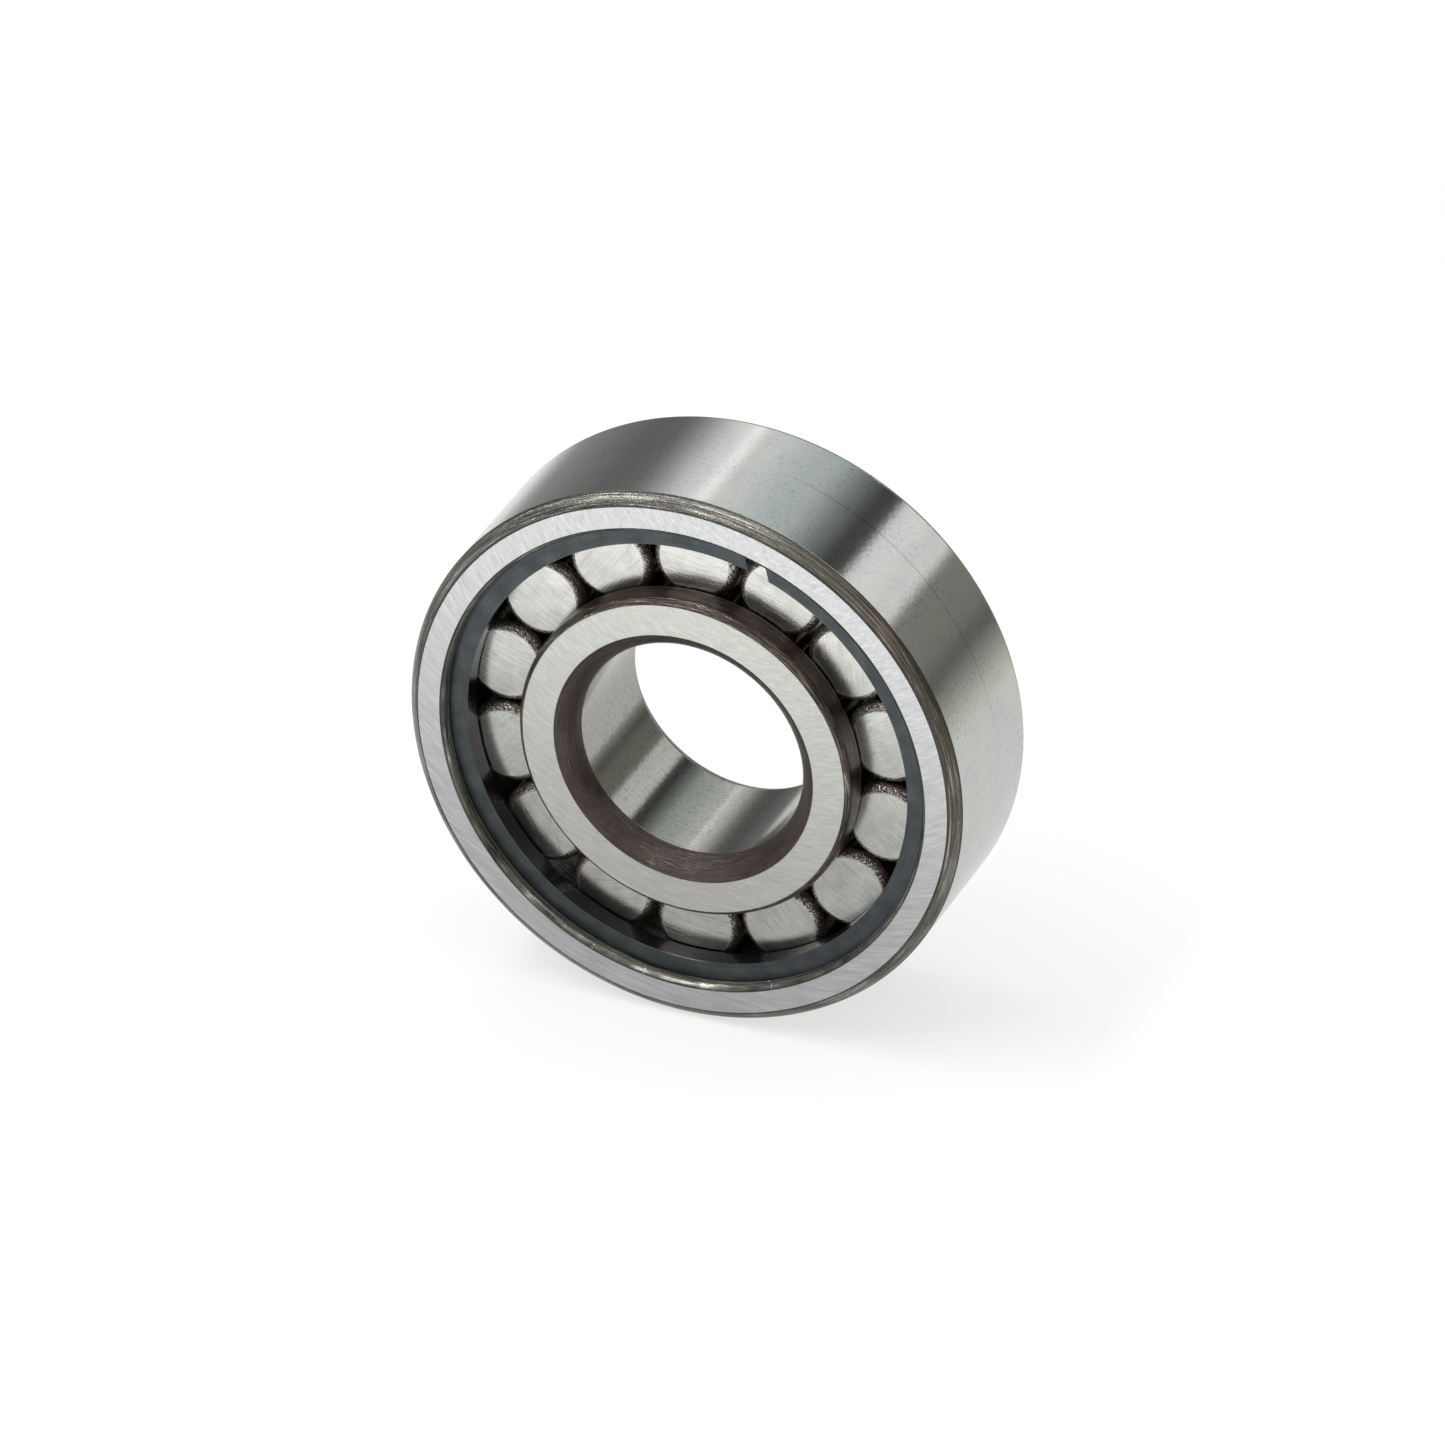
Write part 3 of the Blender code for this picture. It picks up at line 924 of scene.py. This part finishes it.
give_to_body(outer_piece, "outer_ring", "outer_ring")
give_to_body(snap_piece, "outer_ring", "snap_ring")
give_to_body(inner_piece, "inner_ring", "inner_ring")
for name, piece in zip(roller_names, roller_pieces):
    give_to_body(piece, name, name)

# %% [markdown]
# ## Floor, light and camera
#
# Polished steel shows its surroundings more than itself, so the room is most of the look. The
# room is a sky shader: long soft lights that lie along the bearing's axis, with dark gaps
# between them, which the ground outside mirrors as bands. A large light overhead fills the
# floor and the side faces, a narrow key light adds the glints, and a plain grey wall closes the
# room at each end of the axis.
#
# Each stop of ROOM_LIGHTS is an angle round the axis in degrees, a brightness and a tint. The
# spans and fades are where a light starts and where it is full, along a direction of length 1,
# except that KEY_SIDE_FADE is in degrees.
#
# Nobody sees these lights: the camera gets plain white behind the bearing. It also gets the
# floor a little brighter than the steel does, so that the floor runs out into that white.


# %% Floor
FLOOR_RADIUS = 0.19
FLOOR_GLOW = [(0.0, (0.50, 0.50, 0.495)), (0.5, (0.93, 0.93, 0.92)), (1.0, (1.95, 1.95, 1.94))]
CAMERA_LIFT = 0.16


def make_floor():
    """A pale round table that glows towards the front and whose edge fades out."""
    mesh = bpy.data.meshes.new("floor")
    shape = bmesh.new()
    bmesh.ops.create_circle(shape, cap_ends=True, radius=FLOOR_RADIUS, segments=96)
    shape.to_mesh(mesh)
    shape.free()
    mesh.transform(Matrix.Translation((0, 0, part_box("outer_ring")[0][2])))
    floor = bpy.data.objects.new("floor", mesh)
    bpy.context.scene.collection.objects.link(floor)
    material, bench = new_finish("floor_pale")
    place = bench.node("ShaderNodeTexCoord", {}, {}, out="Object")
    x, y, z = bench.parts(place)
    reach = bench.maths("SQRT", x * x + y * y)
    ahead = between(bench, y, -0.030, -0.105)
    glow = colours(bench, ahead, FLOOR_GLOW)
    seen = bench.node("ShaderNodeLightPath", {}, {}, out="Is Camera Ray")
    glow = mix_colours(bench, seen * CAMERA_LIFT, glow, (1.0, 1.0, 1.0, 1), "ADD")
    shader = bench.node("ShaderNodeBsdfPrincipled", {},
                        {"Base Color": (0.235, 0.235, 0.233, 1), "Roughness": 0.9,
                         "Specular IOR Level": 0.0,
                         "Emission Color": glow, "Emission Strength": 1.0})
    clear = bench.node("ShaderNodeBsdfTransparent", {}, {})
    fade = between(bench, reach, FLOOR_RADIUS * 0.75, FLOOR_RADIUS * 0.99)
    edge = bench.node("ShaderNodeMixShader", {}, {0: fade, 1: shader, 2: clear})
    bench.node("ShaderNodeOutputMaterial", {}, {"Surface": edge}, out=None)
    mesh.materials.append(material)


make_floor()
print(f"floor {2 * FLOOR_RADIUS:.2f} m across")

# %% The room's lights round the bearing's axis
PLAIN = (1.0, 1.0, 1.0)
WARM = (1.0, 1.0, 0.97)
COOL = (0.91, 1.0, 0.98)
OLIVE_LIGHT = (0.98, 1.0, 0.89)
ROOM_LIGHTS = [
    (-90, 0.92, WARM), (-32, 0.92, OLIVE_LIGHT), (-22, 0.80, OLIVE_LIGHT),
    (-12, 0.46, OLIVE_LIGHT), (-2, 0.16, OLIVE_LIGHT), (8, 0.28, OLIVE_LIGHT),
    (27, 0.31, OLIVE_LIGHT), (30, 1.04, WARM), (38, 1.00, PLAIN),
    (45, 1.12, PLAIN), (53, 1.06, PLAIN), (55.5, 0.11, PLAIN), (63, 0.08, PLAIN),
    (73, 0.33, COOL), (83, 0.70, COOL), (96, 0.80, COOL), (108, 0.98, PLAIN),
    (115.5, 0.92, PLAIN), (117.0, 1.66, PLAIN), (118.8, 1.66, PLAIN), (120.5, 1.14, PLAIN),
    (128, 0.98, PLAIN), (138, 0.45, PLAIN), (147, 0.20, PLAIN), (160, 0.18, PLAIN),
    (180, 0.26, PLAIN), (199, 0.34, PLAIN), (201.5, 0.46, PLAIN), (213, 0.74, PLAIN),
    (222, 1.14, PLAIN), (229, 1.70, WARM), (270, 0.95, WARM)]
ROOM_STRENGTH = 2.0
OVERHEAD = 1.65
OVERHEAD_SPAN = (0.68, 0.80)
KEY_STRIP = 16.0
KEY_ANGLE = 113.0
KEY_SIDE_FADE = (7.0, 4.0)
KEY_BACK_FADE = (0.30, 0.0)
KEY_FRONT_FADE = (-0.72, -0.62)
END_WALL = 0.44
END_WALL_SPAN = (0.955, 0.99)


def grey(level):
    """A grey light of this brightness, before the room's strength multiplies it."""
    return (level / ROOM_STRENGTH, level / ROOM_STRENGTH, level / ROOM_STRENGTH, 1)


def make_room():
    """Lights round the Y axis and overhead, a key strip, end walls, and white to look at."""
    world = bpy.data.worlds.new("studio")
    bpy.context.scene.world = world
    world.use_nodes = True
    world.node_tree.nodes.clear()
    bench = Bench(world.node_tree)
    towards = bench.node("ShaderNodeTexCoord", {}, {}, out="Generated")
    x, y, z = bench.parts(towards)
    turn = bench.maths("ARCTAN2", z, x) * (180 / math.pi)
    share = bench.maths("FRACT", (turn + 90.0) / 360.0)
    stops = [((angle + 90) / 360, tuple(part * level / ROOM_STRENGTH for part in tint))
             for angle, level, tint in ROOM_LIGHTS]
    bands = colours(bench, share, stops)
    end_wall = between(bench, bench.maths("ABSOLUTE", y), *END_WALL_SPAN)
    bands = mix_colours(bench, end_wall, bands, grey(END_WALL))
    overhead = between(bench, z, *OVERHEAD_SPAN)
    bands = mix_colours(bench, overhead, bands, grey(OVERHEAD))
    off_strip = bench.maths("ABSOLUTE", turn - KEY_ANGLE)
    strip = between(bench, off_strip, *KEY_SIDE_FADE) * between(bench, y, *KEY_BACK_FADE)
    strip = strip * between(bench, y, *KEY_FRONT_FADE)
    bands = mix_colours(bench, strip, bands, grey(KEY_STRIP))
    room = bench.node("ShaderNodeBackground", {}, {"Color": bands, "Strength": ROOM_STRENGTH})
    white = bench.node("ShaderNodeBackground", {}, {"Color": (1, 1, 1, 1), "Strength": 1.0})
    seen = bench.node("ShaderNodeLightPath", {}, {}, out="Is Camera Ray")
    mixed = bench.node("ShaderNodeMixShader", {}, {0: seen, 1: room, 2: white})
    bench.node("ShaderNodeOutputWorld", {}, {"Surface": mixed}, out=None)


make_room()
print("room lights:", len(ROOM_LIGHTS), "stops")

# %% [markdown]
# ### Camera
#
# A long lens from well back keeps the circles nearly round. The camera looks down on the
# bearing from the front and a little to its right.

# %% Camera
AZIMUTH = math.radians(23.13)
ELEVATION = math.radians(31.2)
DISTANCE = 1.4353
AIM = Vector((0.561, -0.074, -0.477)) * MM
LENS = 344.5

camera_data = bpy.data.cameras.new("camera")
camera_data.lens = LENS
camera_data.sensor_width = 36.0
camera = bpy.data.objects.new("camera", camera_data)
bpy.context.scene.collection.objects.link(camera)
look = Vector((-math.sin(AZIMUTH) * math.cos(ELEVATION), math.cos(AZIMUTH) * math.cos(ELEVATION),
               -math.sin(ELEVATION)))
camera.location = AIM - look * DISTANCE
camera.rotation_euler = look.to_track_quat("-Z", "Y").to_euler()
bpy.context.scene.camera = camera
bpy.context.scene.view_settings.view_transform = "Standard"
print("camera at", [round(value, 3) for value in camera.location])
